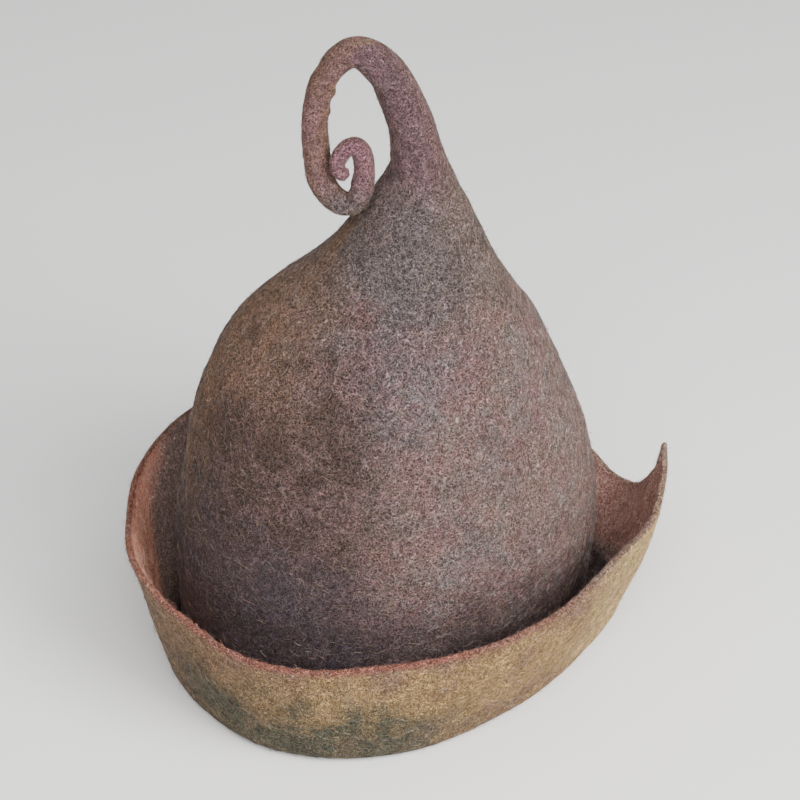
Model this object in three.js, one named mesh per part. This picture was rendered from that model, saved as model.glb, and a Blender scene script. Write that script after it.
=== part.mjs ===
// Felt hat with a curled tail: one seamless wall of wool felt.
// A tall hollow crown narrows into a solid tail that winds up in a spiral.
// Its lower edge turns up all round as a brim, drawn out into a point on one side.
// Millimetres, +Z up, standing on the fold of the brim; +X is the long way of the head opening.
import * as THREE from 'three';

// Driving sizes
const FELT = 3; // thickness of the wall
const FLOOR_RADIUS = 4; // depth of the trough's rounded floor
const CURL_HEADING = -24; // degrees: the upright plane in which the tail curls
const HOLLOW_TOP = 11; // row of the body where the hollow closes
const CROWDING = 0.7; // how much the points round the brim gather at its point
const CROWD_ROWS = 9; // rows of the body over which the gathering fades out

// Mesh sizes
const ROUND_TAIL = 16;
const ROUND_NECK = 32;
const ROUND_BODY = 64;
const FLOOR_BENDS = [0, 35, 70, 110, 145]; // degrees round the fold; flat on the ground from 70 to 110
const STEP = 1e-3;

// The middle of the hat's outer box, seen from the middle of the head opening
const BOX_MIDDLE = { x: 6.17, y: 3.08 };

const table = (names, rows) => rows.map(
  (row) => Object.fromEntries(names.map((name, i) => [name, row[i]])),
);

// The body from the brow up to the tip of the tail.
// reach and away place the middle of a section along and across the curl's plane.
// long and wide are its half sizes; square is how far it turns to face along the body.
const BODY = table(['reach', 'away', 'height', 'long', 'wide', 'square'], [
  [0, 0, 6.5, 104, 80, 0],
  [0.5, 0, 42, 106, 82, 0],
  [1, 0, 76, 106, 84, 0],
  [0.5, 0, 106, 101, 82, 0],
  [-1.5, 0, 133, 93.5, 78.5, 0],
  [-2.5, 0, 156, 84.5, 73.5, 0],
  [-1.5, 0, 175, 75.5, 67, 0],
  [2.5, 0, 191, 62.5, 57, 0.05],
  [7.5, 0, 205, 50, 46.5, 0.15],
  [11, 0, 218, 39.5, 37.5, 0.3],
  [13, 0, 231, 31.5, 30.5, 0.5],
  [14.5, 0, 245, 24, 24, 0.75],
  [15, 0, 259, 16.5, 16.5, 1],
  [14, 0, 272, 12, 12, 1],
  [10.5, 0, 290, 10, 10, 1],
  [2.8, 0, 309, 9.1, 9.1, 1],
  [-5.5, 0, 319.5, 8, 8, 1],
  [-13.5, 0, 322.5, 7, 7, 1],
  [-21, 0, 318, 6.3, 6.3, 1],
  [-26.9, -1, 309.5, 5.9, 5.9, 1],
  [-30.2, -2, 297.7, 5.7, 5.7, 1],
  [-31, -3, 285, 5.9, 5.9, 1],
  [-30.1, -4.5, 272, 6, 6, 1],
  [-27.3, -6.5, 259.5, 5.9, 5.9, 1],
  [-21.4, -8, 252.7, 5.7, 5.7, 1],
  [-15, -9, 252, 5.3, 5.3, 1],
  [-10.5, -9.5, 258.5, 4.9, 4.9, 1],
  [-9.3, -9.5, 268.5, 4.6, 4.6, 1],
  [-10, -9.5, 277, 4.5, 4.5, 1],
  [-13, -10, 281.5, 4.3, 4.3, 1],
  [-17.2, -10.5, 280.5, 3.9, 3.9, 1],
  [-20.3, -11, 276.5, 3.6, 3.6, 1],
  [-21.2, -11, 271.8, 3.4, 3.4, 1],
  [-19.6, -11, 268.6, 3.2, 3.2, 1],
  [-17.2, -11, 267.8, 2.7, 2.7, 1],
]);

// The turned-up brim, by the way it faces in degrees.
// gap is the width of the trough; rise is the height of the rim over the ground.
// reach is how far the rim stands out from the crown's foot; lean is its slope outwards.
const BRIM = table(['heading', 'gap', 'rise', 'reach', 'lean'], [
  [0, 15, 40, 36.5, 12],
  [11, 14, 35.5, 34, 12],
  [20, 13, 44, 31.5, 12],
  [35, 11, 51, 28.5, 12],
  [60, 10, 64, 28, 12],
  [85, 9, 75, 30, 12],
  [110, 8, 83, 32, 12],
  [135, 8, 79.5, 28, 12],
  [155, 8, 75.5, 23.5, 12],
  [180, 8, 79, 24.5, 12],
  [205, 10, 71.5, 23, 10],
  [230, 17.5, 62.5, 25, 5],
  [255, 18, 63, 23.5, 2],
  [280, 10, 65.5, 25, 2],
  [305, 8, 72.5, 25.5, 3],
  [325, 14, 66.5, 31, 6],
  [342, 18, 58, 37, 10],
]);

// The point of the brim: where it faces, how far it stands over the rim, and its spread in degrees.
const POINT = { heading: 344, rise: 31, spread: 20 };

// Soft dents (depth above nought) and swellings (below) left by the felting.
// heading is about the upright axis in degrees; height is over the ground.
const DENTS = table(['heading', 'height', 'across', 'depth'], [
  [-77, 248, 9, -2.2],
  [-88, 262, 7, 1.8],
  [-46, 236, 12, 2.2],
  [-169, 203, 13, 1.4],
  [-128, 187, 14, -1.4],
  [148, 189, 16, -1.2],
  [-103, 176, 13, -1],
  [-60, 150, 18, 1.2],
  [-120, 110, 20, 1.2],
  [60, 140, 22, 1.6],
  [110, 95, 22, -1.4],
]);

const radians = (degrees) => degrees * Math.PI / 180;
const clamp = THREE.MathUtils.clamp;

const alongCurl = new THREE.Vector3(Math.cos(radians(CURL_HEADING)), Math.sin(radians(CURL_HEADING)), 0);
const acrossCurl = new THREE.Vector3(-alongCurl.y, alongCurl.x, 0);
const up = new THREE.Vector3(0, 0, 1);

// One value on the smooth curve through four evenly spaced ones.
function smooth(a, b, c, d, u) {
  const bend = (2 * a - 5 * b + 4 * c - d) * u * u;
  const twist = (3 * b - a - 3 * c + d) * u * u * u;
  return 0.5 * (2 * b + (c - a) * u + bend + twist);
}

// The section of the body at a place counted in rows.
function sectionAt(place) {
  const last = BODY.length - 1;
  const i = clamp(Math.floor(place), 0, last - 1);
  const u = place - i;
  const value = (name) => {
    const b = BODY[i][name];
    const c = BODY[i + 1][name];
    const a = i > 0 ? BODY[i - 1][name] : 2 * b - c;
    const d = i < last - 1 ? BODY[i + 2][name] : 2 * c - b;
    return smooth(a, b, c, d, u);
  };
  return Object.fromEntries(Object.keys(BODY[0]).map((name) => [name, value(name)]));
}

// How far the body has turned over from upright at every fine step, in radians.
const TURN_STEPS = 40;
const turns = [];
for (let i = 0; i <= (BODY.length - 1) * TURN_STEPS; i += 1) {
  const a = sectionAt(clamp(i / TURN_STEPS - STEP, 0, BODY.length - 1));
  const b = sectionAt(clamp(i / TURN_STEPS + STEP, 0, BODY.length - 1));
  const turn = Math.atan2(a.reach - b.reach, b.height - a.height);
  const before = turns.length ? turns[turns.length - 1] : 0;
  turns.push(turn + 2 * Math.PI * Math.round((before - turn) / (2 * Math.PI)));
}

function turnAt(place) {
  const at = clamp(place * TURN_STEPS, 0, turns.length - 1);
  const i = Math.min(Math.floor(at), turns.length - 2);
  return turns[i] + (turns[i + 1] - turns[i]) * (at - i);
}

// The angle on the oval at a step round the ring, gathered at the brim's point.
const pointAngle = Math.atan2(
  Math.sin(radians(POINT.heading)) * BODY[0].wide,
  Math.cos(radians(POINT.heading)) * BODY[0].long,
);

function ovalAngle(place, round) {
  const crowding = CROWDING * clamp(1 - place / CROWD_ROWS, 0, 1);
  return pointAngle + round - crowding * Math.sin(round);
}

// A point on the crown or the tail.
function bodyPoint(place, round) {
  const section = sectionAt(place);
  const angle = ovalAngle(place, round);
  const oval = new THREE.Vector3(section.long * Math.cos(angle), section.wide * Math.sin(angle), 0);
  const tilt = turnAt(place) * section.square;
  const inPlane = alongCurl.clone().multiplyScalar(Math.cos(tilt)).addScaledVector(up, Math.sin(tilt));
  return up.clone().multiplyScalar(section.height)
    .addScaledVector(alongCurl, section.reach)
    .addScaledVector(acrossCurl, section.away + oval.dot(acrossCurl))
    .addScaledVector(inPlane, oval.dot(alongCurl));
}

// The brim's sizes the way it faces, smooth round the whole ring.
function brimAt(heading) {
  const count = BRIM.length;
  const turned = ((heading % 360) + 360) % 360;
  let i = count - 1;
  while (BRIM[i].heading > turned) {
    i -= 1;
  }
  const headingOf = (k) => BRIM[((k % count) + count) % count].heading + 360 * Math.floor(k / count);
  const width = headingOf(i + 1) - headingOf(i);
  const u = (turned - headingOf(i)) / width;
  const value = (name) => {
    const at = (k) => BRIM[((k % count) + count) % count][name];
    const slopeIn = (at(i + 1) - at(i - 1)) / (headingOf(i + 1) - headingOf(i - 1));
    const slopeOut = (at(i + 2) - at(i)) / (headingOf(i + 2) - headingOf(i));
    const start = (2 * u ** 3 - 3 * u ** 2 + 1) * at(i) + (u ** 3 - 2 * u ** 2 + u) * width * slopeIn;
    const end = (3 * u ** 2 - 2 * u ** 3) * at(i + 1) + (u ** 3 - u ** 2) * width * slopeOut;
    return start + end;
  };
  const away = Math.abs(((heading - POINT.heading + 540) % 360 + 360) % 360 - 180);
  const point = POINT.rise * clamp(1 - away / POINT.spread, 0, 1) ** 2;
  return { gap: value('gap'), rise: value('rise') + point, reach: value('reach'), lean: value('lean') };
}

// A point on the side of the brim that faces the crown: place 0 to -1 is the trough's floor,
// -1 to -2 the wall up to the rim.
function brimPoint(place, round) {
  const foot = BODY[0];
  const angle = ovalAngle(place, round);
  const out = new THREE.Vector3(Math.cos(angle) / foot.long, Math.sin(angle) / foot.wide, 0).normalize();
  const brim = brimAt(Math.atan2(out.y, out.x) * 180 / Math.PI);
  const from = bodyPoint(0, round);
  if (place > -1) {
    const bend = -place * Math.PI;
    const distance = brim.gap * (1 - Math.cos(bend)) / 2;
    return from.addScaledVector(out, distance).addScaledVector(up, -FLOOR_RADIUS * Math.sin(bend));
  }
  const u = clamp(-place - 1, 0, 1);
  const span = brim.rise - foot.height;
  const lean = radians(brim.lean);
  const sides = [brim.gap, brim.gap + 0.1 * span, brim.reach - 0.42 * span * Math.sin(lean), brim.reach];
  const levels = [0, 0.4 * span, span - 0.42 * span * Math.cos(lean), span];
  const weights = [(1 - u) ** 3, 3 * (1 - u) ** 2 * u, 3 * (1 - u) * u ** 2, u ** 3];
  const mix = (values) => weights.reduce((sum, weight, i) => sum + weight * values[i], 0);
  return from.addScaledVector(out, mix(sides)).addScaledVector(up, mix(levels));
}

const plainPoint = (place, round) => (place < 0 ? brimPoint(place, round) : bodyPoint(place, round));

// The direction out of the felt on its face: away from the head on the crown, to the crown on the brim.
function facing(place, round) {
  const last = BODY.length - 1;
  const back = plainPoint(clamp(place - STEP, -2, last), round);
  const ahead = plainPoint(clamp(place + STEP, -2, last), round);
  const left = plainPoint(place, round + STEP);
  const right = plainPoint(place, round - STEP);
  return left.sub(right).cross(ahead.sub(back)).normalize();
}

// How deep the dents are at a point of the crown.
function dentDepth(point) {
  const heading = Math.atan2(point.y, point.x);
  const radius = Math.hypot(point.x, point.y);
  return DENTS.reduce((sum, dent) => {
    const turn = heading - radians(dent.heading);
    const sideways = radius * Math.atan2(Math.sin(turn), Math.cos(turn));
    const distance = Math.hypot(sideways, point.z - dent.height) / dent.across;
    return sum + dent.depth * Math.exp(-distance * distance);
  }, 0);
}

function facePoint(place, round) {
  const point = plainPoint(place, round);
  const isCrown = place > 0.5 && place < 13;
  return isCrown ? point.addScaledVector(facing(place, round), -dentDepth(point)) : point;
}

// The far side of the wall, pressed flat where the fold rests on the ground.
function backPoint(place, round) {
  const point = facePoint(place, round).addScaledVector(facing(place, round), -FELT);
  point.z = Math.max(point.z, 0);
  return point;
}

// A point on the rounded rim, turning from the face to the back.
function rimPoint(turn, round) {
  const edge = facePoint(-2, round);
  const normal = facing(-2, round);
  const onward = edge.clone().sub(facePoint(-2 + STEP, round)).normalize();
  return edge.addScaledVector(normal, FELT / 2 * (Math.cos(turn) - 1))
    .addScaledVector(onward, FELT / 2 * Math.sin(turn));
}

const ring = (count, pointAt) => Array.from({ length: count }, (_, i) => pointAt(2 * Math.PI * i / count));

// Places from one row to another in even steps, the last one left out.
function places(from, to, steps) {
  return Array.from({ length: steps }, (_, i) => from + (to - from) * i / steps);
}

const roundAt = (place) => {
  if (place > 14) {
    return ROUND_TAIL;
  }
  return place > 10 ? ROUND_NECK : ROUND_BODY;
};

// All the rings of the closed skin, from the tip of the tail over the rim to the top of the hollow.
function hatRings() {
  const last = BODY.length - 1;
  const down = [...places(last, 14, 54), ...places(14, 10, 8), ...places(10, 0, 18)];
  const floor = FLOOR_BENDS.map((bend) => -bend / 180);
  const brim = [...floor, ...places(-1, -2, 9), -2];
  const face = [...down, ...brim].map((place) => ring(roundAt(place), (round) => facePoint(place, round)));
  const rim = [1, 2, 3].map((i) => ring(ROUND_BODY, (round) => rimPoint(Math.PI * i / 4, round)));
  const back = [...brim.slice().reverse(), ...places(0, HOLLOW_TOP, 16).slice(1), HOLLOW_TOP - 0.2]
    .map((place) => ring(ROUND_BODY, (round) => backPoint(place, round)));
  return [...face, ...rim, ...back];
}

const middle = (points) => points
  .reduce((sum, point) => sum.add(point), new THREE.Vector3())
  .divideScalar(points.length);

// Triangles between two rings with the same number of points, or one with twice the other's.
function bridge(upper, lower, triangle) {
  const count = Math.max(upper.length, lower.length);
  const above = (i) => upper.first + Math.floor(i * upper.length / count) % upper.length;
  const below = (i) => lower.first + Math.floor(i * lower.length / count) % lower.length;
  for (let i = 0; i < count; i += 1) {
    if (below(i) !== below(i + 1)) {
      triangle(above(i), below(i), below(i + 1));
    }
    if (above(i) !== above(i + 1)) {
      triangle(above(i), below(i + 1), above(i + 1));
    }
  }
}

// Closes a run of rings with a pole at each end.
function skin(rings) {
  const positions = [];
  const indices = [];
  const triangle = (a, b, c) => indices.push(a, b, c);
  const add = (point) => positions.push(point.x, point.y, point.z) / 3 - 1;
  const spans = rings.map((points) => ({ length: points.length, first: points.map(add)[0] }));
  for (let i = 1; i < spans.length; i += 1) {
    bridge(spans[i - 1], spans[i], triangle);
  }
  const [top, bottom] = [rings[0], rings[rings.length - 1]];
  const tip = add(middle(top).addScaledVector(middle(top).sub(middle(rings[2])).normalize(), 2));
  const apex = add(middle(bottom).addScaledVector(up, 3));
  const [head, tail] = [spans[0], spans[spans.length - 1]];
  for (let i = 0; i < head.length; i += 1) {
    triangle(tip, head.first + i, head.first + (i + 1) % head.length);
  }
  for (let i = 0; i < tail.length; i += 1) {
    triangle(apex, tail.first + (i + 1) % tail.length, tail.first + i);
  }
  const geometry = new THREE.BufferGeometry();
  geometry.setAttribute('position', new THREE.Float32BufferAttribute(positions, 3));
  geometry.setIndex(indices);
  geometry.translate(-BOX_MIDDLE.x, -BOX_MIDDLE.y, 0);
  geometry.computeVertexNormals();
  return geometry;
}

// Mauve-brown wool felt, quite matt
function woolFelt() {
  return new THREE.MeshStandardMaterial({ color: '#826f69', roughness: 0.95, metalness: 0 });
}

// The hat: crown, tail and turned-up brim as one wall of felt
function feltHat() {
  const mesh = new THREE.Mesh(skin(hatRings()), woolFelt());
  mesh.name = 'felt_hat';
  return mesh;
}

const hat = new THREE.Group();
hat.name = 'curled_felt_hat';
hat.add(feltHat());

export default hat;
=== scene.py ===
"""Felt hat with a curled tail: the felted wall, its loose wool and the studio round it.

The tables hold the hat's own sizes in millimetres; everything built from them is in metres.
"""
from __future__ import annotations

import logging
import math
from dataclasses import dataclass, field
from enum import Enum

import bpy
import numpy as np
from mathutils import Matrix, Vector, noise
from mathutils.bvhtree import BVHTree

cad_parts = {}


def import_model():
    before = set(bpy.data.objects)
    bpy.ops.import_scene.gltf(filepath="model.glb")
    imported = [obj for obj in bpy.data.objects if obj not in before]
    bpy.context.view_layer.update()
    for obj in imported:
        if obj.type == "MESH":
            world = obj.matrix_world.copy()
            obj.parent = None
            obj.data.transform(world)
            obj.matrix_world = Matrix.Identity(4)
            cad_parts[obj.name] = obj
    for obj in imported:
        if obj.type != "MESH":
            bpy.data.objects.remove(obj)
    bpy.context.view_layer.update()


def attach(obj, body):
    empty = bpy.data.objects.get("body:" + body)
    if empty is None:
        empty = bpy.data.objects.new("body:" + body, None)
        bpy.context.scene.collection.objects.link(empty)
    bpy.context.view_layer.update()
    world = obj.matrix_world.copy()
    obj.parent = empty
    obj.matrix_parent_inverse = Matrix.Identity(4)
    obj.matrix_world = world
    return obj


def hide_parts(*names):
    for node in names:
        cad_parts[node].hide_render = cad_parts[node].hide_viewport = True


log = logging.getLogger("felt_hat")

Colour = tuple[float, float, float, float]

MM = 0.001

# Lengths are in millimetres, headings in degrees, and places in rows of the BODY table.
FELT = 3.0
FLOOR_RADIUS = 4.0
CURL_HEADING = -24.0
CROWDING = 0.7
CROWD_ROWS = 9.0
NECK_ROW = 10.0
HOLLOW_TOP = 11.0
TAIL_ROW = 14.0

# The middle of the hat's box, seen from the middle of the head opening.
BOX_MIDDLE = np.array([6.17, 3.08, 0.0])

# The zones of colour, some of them painted light and shade. Each is stored on the felt as a number from
# nought to one.
ZONES = ("outside", "inside", "rim", "rosy", "pale", "moss", "sand", "painted_left_shade", "dusk", "painted_trough_shade", "tail", "ochre_and_painted_sheen")

# The body from the brow up to the tip of the tail. Columns: reach along the curl's plane, distance
# from that plane, height, half length, half width, and how square the section is to the body's run.
BODY = np.array([
    (0, 0, 6.5, 104, 80, 0),
    (0.5, 0, 42, 106, 82, 0),
    (1, 0, 76, 106, 84, 0),
    (0.5, 0, 106, 101, 82, 0),
    (-1.5, 0, 133, 93.5, 78.5, 0),
    (-2.5, 0, 156, 84.5, 73.5, 0),
    (-1.5, 0, 175, 75.5, 67, 0),
    (2.5, 0, 191, 62.5, 57, 0.05),
    (7.5, 0, 205, 50, 46.5, 0.15),
    (11, 0, 218, 39.5, 37.5, 0.3),
    (13, 0, 231, 31.5, 30.5, 0.5),
    (14.5, 0, 245, 24, 24, 0.75),
    (15, 0, 259, 16.5, 16.5, 1),
    (14, 0, 272, 12, 12, 1),
    (10.5, 0, 290, 10, 10, 1),
    (2.8, 0, 309, 9.1, 9.1, 1),
    (-5.5, 0, 319.5, 8, 8, 1),
    (-13.5, 0, 322.5, 7, 7, 1),
    (-21, 0, 318, 6.3, 6.3, 1),
    (-26.9, -1, 309.5, 5.9, 5.9, 1),
    (-30.2, -2, 297.7, 5.7, 5.7, 1),
    (-31, -3, 285, 5.9, 5.9, 1),
    (-30.1, -4.5, 272, 6, 6, 1),
    (-27.3, -6.5, 259.5, 5.9, 5.9, 1),
    (-21.4, -8, 252.7, 5.7, 5.7, 1),
    (-15, -9, 252, 5.3, 5.3, 1),
    (-10.5, -9.5, 258.5, 4.9, 4.9, 1),
    (-9.3, -9.5, 268.5, 4.6, 4.6, 1),
    (-10, -9.5, 277, 4.5, 4.5, 1),
    (-13, -10, 281.5, 4.3, 4.3, 1),
    (-17.2, -10.5, 280.5, 3.9, 3.9, 1),
    (-20.3, -11, 276.5, 3.6, 3.6, 1),
    (-21.2, -11, 271.8, 3.4, 3.4, 1),
    (-19.6, -11, 268.6, 3.2, 3.2, 1),
    (-17.2, -11, 267.8, 2.7, 2.7, 1),
], dtype=float)
BROW_HEIGHT, BROW_LONG, BROW_WIDE = BODY[0, 2:5]

# The turned-up brim. Columns: the way it faces, the trough's width, the rim's height, how far the
# rim stands out from the brow, and how far the wall leans out at the rim, in degrees.
BRIM = np.array([
    (0, 15, 40, 36.5, 12),
    (11, 14, 35.5, 34, 12),
    (20, 13, 44, 31.5, 12),
    (35, 11, 51, 28.5, 12),
    (60, 10, 64, 28, 12),
    (85, 9, 75, 30, 12),
    (110, 8, 83, 32, 12),
    (135, 8, 79.5, 28, 12),
    (155, 8, 75.5, 23.5, 12),
    (180, 8, 79, 24.5, 12),
    (205, 10, 71.5, 23, 10),
    (230, 17.5, 62.5, 25, 5),
    (255, 18, 63, 23.5, 2),
    (280, 10, 65.5, 25, 2),
    (305, 8, 72.5, 25.5, 3),
    (325, 14, 66.5, 31, 6),
    (342, 18, 58, 37, 10),
], dtype=float)

# The brim's point and the flare of its lip: headings and spreads in degrees, sizes in millimetres.
POINT_HEADING, POINT_RISE, POINT_SPREAD = 344.0, 31.0, 20.0
LIP_HEADING, LIP_SPREAD, LIP_FLARE = 170.0, 70.0, 1.0

# Soft dents (depth above nought) and swellings. Columns: heading, height, breadth, depth.
DENTS = np.array([
    (-77, 248, 9, -2.2),
    (-88, 262, 7, 1.8),
    (-46, 236, 12, 2.2),
    (-169, 203, 13, 1.4),
    (-128, 187, 14, -1.4),
    (148, 189, 16, -1.2),
    (-103, 176, 13, -1),
    (-60, 150, 18, 1.2),
    (-120, 110, 20, 1.2),
    (60, 140, 22, 1.6),
    (110, 95, 22, -1.4),
], dtype=float)

# Knots felted into the tail. Columns: place, turn in degrees, spread in rows and in degrees, height.
KNOTS = np.array([
    (18.6, -12, 0.30, 45, -0.8),
    (19.35, 168, 0.22, 35, 1.5),
    (20.15, 168, 0.20, 35, 1.1),
    (15.2, 170, 0.30, 45, -0.8),
    (22.6, -12, 0.35, 50, 0.5),
    (26.4, 170, 0.30, 50, 0.6),
], dtype=float)

# Where the painted shade of the trough ends on the brim; on the brim's inner wall it follows the crown's
# shadow. Columns: heading, place on the wall.
PAINTED_SHADE_EDGE = np.array([
    (0, -1.12),
    (40, -1.3),
    (100, -2.12),
    (132, -2.12),
    (139, -1.96),
    (144, -1.9),
    (149, -1.82),
    (152, -1.68),
    (156, -1.46),
    (160, -1.3),
    (168, -1.12),
    (250, -1.1),
    (360, -1.12),
], dtype=float)


class Side(Enum):
    """Which side of the felt wall a ring of points lies on."""

    FACE = 0
    RIM = 1
    BACK = 2


class Stretch(Enum):
    """The stretches of felt that loose wool grows on."""

    CROWN = 1
    TAIL = 2
    INSIDE = 3
    OUTSIDE = 4
    HOLLOW = 5
    RIM = 6


def smooth_rows(rows: np.ndarray, place: np.ndarray) -> np.ndarray:
    """Reads a table at places between its rows, on a smooth curve.

    Args:
        rows: the table, a row for each section.
        place: where to read, counted in rows.

    Returns:
        One row of values for each place.
    """
    padded = np.vstack([2 * rows[0] - rows[1], rows, 2 * rows[-1] - rows[-2]])
    index = np.clip(np.floor(place).astype(int), 0, len(rows) - 2)
    u = (place - index)[..., None]
    a, b, c, d = (padded[index + k] for k in range(4))
    bend = (2 * a - 5 * b + 4 * c - d) * u ** 2
    twist = (3 * b - a - 3 * c + d) * u ** 3
    return 0.5 * (2 * b + (c - a) * u + bend + twist)


def smooth_ring(rows: np.ndarray, heading: np.ndarray) -> np.ndarray:
    """Reads a table that runs once round the hat.

    Args:
        rows: the table, whose first column is a heading in degrees.
        heading: where to read, in degrees.

    Returns:
        The other columns for each heading.
    """
    count = len(rows)
    turned = np.mod(heading, 360.0)
    i = np.searchsorted(rows[:, 0], turned, side="right") - 1

    def at(k: np.ndarray) -> np.ndarray:
        """The heading of row k, counted on round the ring."""
        return rows[np.mod(k, count), 0] + 360.0 * np.floor_divide(k, count)

    def value(k: np.ndarray) -> np.ndarray:
        """The other columns of row k."""
        return rows[np.mod(k, count), 1:]

    width = (at(i + 1) - at(i))[..., None]
    slope_in = (value(i + 1) - value(i - 1)) / (at(i + 1) - at(i - 1))[..., None]
    slope_out = (value(i + 2) - value(i)) / (at(i + 2) - at(i))[..., None]
    u = (turned - at(i))[..., None] / width
    start = (2 * u ** 3 - 3 * u ** 2 + 1) * value(i) + (u ** 3 - 2 * u ** 2 + u) * width * slope_in
    end = (3 * u ** 2 - 2 * u ** 3) * value(i + 1) + (u ** 3 - u ** 2) * width * slope_out
    return start + end


def unit(vectors: np.ndarray) -> np.ndarray:
    """The vectors at length one."""
    return vectors / np.maximum(np.linalg.norm(vectors, axis=-1, keepdims=True), 1e-12)


def smoothstep(low: float, high: float, value: np.ndarray) -> np.ndarray:
    """Nought below low, one above high, with a soft passage between."""
    t = np.clip((value - low) / (high - low), 0.0, 1.0)
    return t * t * (3 - 2 * t)


def apart(heading: np.ndarray, middle: float) -> np.ndarray:
    """Degrees between each heading and a middle one, the short way round."""
    return np.abs(np.mod(heading - middle + 180, 360) - 180)


def short_way(turn: np.ndarray) -> np.ndarray:
    """Turns in radians, each taken the short way round."""
    return np.arctan2(np.sin(turn), np.cos(turn))


@dataclass
class HatForm:
    """The hat's shape as points on its skin, in millimetres from the middle of the head opening.

    A point is named by its place (rows up the body; 0 to -1 across the trough's floor and
    -1 to -2 up the brim) and by its turn round the ring in radians. The handles shape the curve of
    the brim's wall, as shares of its height, and lip_scale brings the lip's swelling up to one.
    """

    heading: float = CURL_HEADING
    step: float = 1e-3
    steps_a_row: int = 40
    dented_rows: tuple[float, float] = (0.5, 13.0)
    foot_handle: float = 0.4
    foot_flare: float = 0.1
    rim_handle: float = 0.42
    lip_scale: float = 12.2
    turns: np.ndarray = field(init=False)

    def __post_init__(self) -> None:
        """Works out the curl's plane and how far the body has turned over at every step."""
        angle = math.radians(self.heading)
        self.along = np.array([math.cos(angle), math.sin(angle), 0.0])
        self.across = np.array([-math.sin(angle), math.cos(angle), 0.0])
        self.last = len(BODY) - 1
        self.fine = np.linspace(0, self.last, self.last * self.steps_a_row + 1)
        low = smooth_rows(BODY, np.clip(self.fine - self.step, 0, self.last))
        high = smooth_rows(BODY, np.clip(self.fine + self.step, 0, self.last))
        self.turns = np.unwrap(np.arctan2(low[:, 0] - high[:, 0], high[:, 2] - low[:, 2]))
        pointing = math.radians(POINT_HEADING)
        self.point_angle = math.atan2(math.sin(pointing) * BROW_WIDE, math.cos(pointing) * BROW_LONG)

    def oval_angle(self, place: np.ndarray, turn: np.ndarray) -> np.ndarray:
        """The angle on the oval, gathered at the brim's point."""
        crowding = CROWDING * np.clip(1 - place / CROWD_ROWS, 0, 1)
        return self.point_angle + turn - crowding * np.sin(turn)

    def body_point(self, place: np.ndarray, turn: np.ndarray) -> np.ndarray:
        """Points on the crown and the tail.

        Args:
            place: rows up the body.
            turn: turn round the ring in radians.

        Returns:
            The points, three numbers each.
        """
        reach, away, height, long, wide, square = np.moveaxis(smooth_rows(BODY, place), -1, 0)
        angle = self.oval_angle(place, turn)
        oval = np.stack([long * np.cos(angle), wide * np.sin(angle), 0 * angle], -1)
        tilt = np.interp(place, self.fine, self.turns) * square
        along, across = oval @ self.along, oval @ self.across
        flat = reach + along * np.cos(tilt)
        points = flat[..., None] * self.along + (away + across)[..., None] * self.across
        points[..., 2] += height + along * np.sin(tilt)
        return points

    def brim_point(self, place: np.ndarray, turn: np.ndarray) -> np.ndarray:
        """Points on the trough's floor and on the side of the brim that faces the crown.

        Args:
            place: 0 to -1 on the floor, -1 to -2 on the wall.
            turn: turn round the ring in radians.

        Returns:
            The points, three numbers each.
        """
        angle = self.oval_angle(np.minimum(place, 0), turn)
        out = unit(np.stack([np.cos(angle) / BROW_LONG, np.sin(angle) / BROW_WIDE, 0 * angle], -1))
        facing = np.degrees(np.arctan2(out[..., 1], out[..., 0]))
        gap, rise, reach, lean = np.moveaxis(smooth_ring(BRIM, facing), -1, 0)
        off = apart(facing, POINT_HEADING) / POINT_SPREAD
        rise = rise + POINT_RISE * np.clip(1 - off, 0, 1) ** 2
        start = self.body_point(np.zeros_like(angle), turn)
        bend = np.clip(-place, 0, 1) * math.pi
        floor_out = gap * (1 - np.cos(bend)) / 2
        floor_up = -FLOOR_RADIUS * np.sin(bend)
        u = np.clip(-place - 1, 0, 1)
        span = rise - BROW_HEIGHT
        lean = np.radians(lean)
        sides = (gap, gap + self.foot_flare * span, reach - self.rim_handle * span * np.sin(lean), reach)
        levels = (0 * span, self.foot_handle * span, span - self.rim_handle * span * np.cos(lean), span)
        weights = ((1 - u) ** 3, 3 * (1 - u) ** 2 * u, 3 * (1 - u) * u ** 2, u ** 3)
        wall_out = sum(w * s for w, s in zip(weights, sides))
        wall_up = sum(w * s for w, s in zip(weights, levels))
        swing = apart(facing, LIP_HEADING) / LIP_SPREAD
        flare = LIP_FLARE * np.clip(1 - swing ** 2, 0, 1) * self.lip_scale
        wall_out = wall_out - flare * u ** 4 * (1 - u)
        on_floor = place > -1
        outward = np.where(on_floor, floor_out, wall_out)
        points = start + outward[..., None] * out
        points[..., 2] += np.where(on_floor, floor_up, wall_up)
        return points

    def plain(self, place: np.ndarray, turn: np.ndarray) -> np.ndarray:
        """Points on the face of the felt, before any dent.

        Args:
            place: place along the skin.
            turn: turn round the ring in radians.

        Returns:
            The points, three numbers each.
        """
        body = self.body_point(np.maximum(place, 0), turn)
        brim = self.brim_point(np.minimum(place, 0), turn)
        return np.where((place < 0)[..., None], brim, body)

    def facing(self, place: np.ndarray, turn: np.ndarray) -> np.ndarray:
        """Directions out of the felt on its face.

        Args:
            place: place along the skin.
            turn: turn round the ring in radians.

        Returns:
            A direction of length one for each point.
        """
        back = self.plain(np.clip(place - self.step, -2, self.last), turn)
        ahead = self.plain(np.clip(place + self.step, -2, self.last), turn)
        left, right = self.plain(place, turn + self.step), self.plain(place, turn - self.step)
        return unit(np.cross(left - right, ahead - back))

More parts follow.
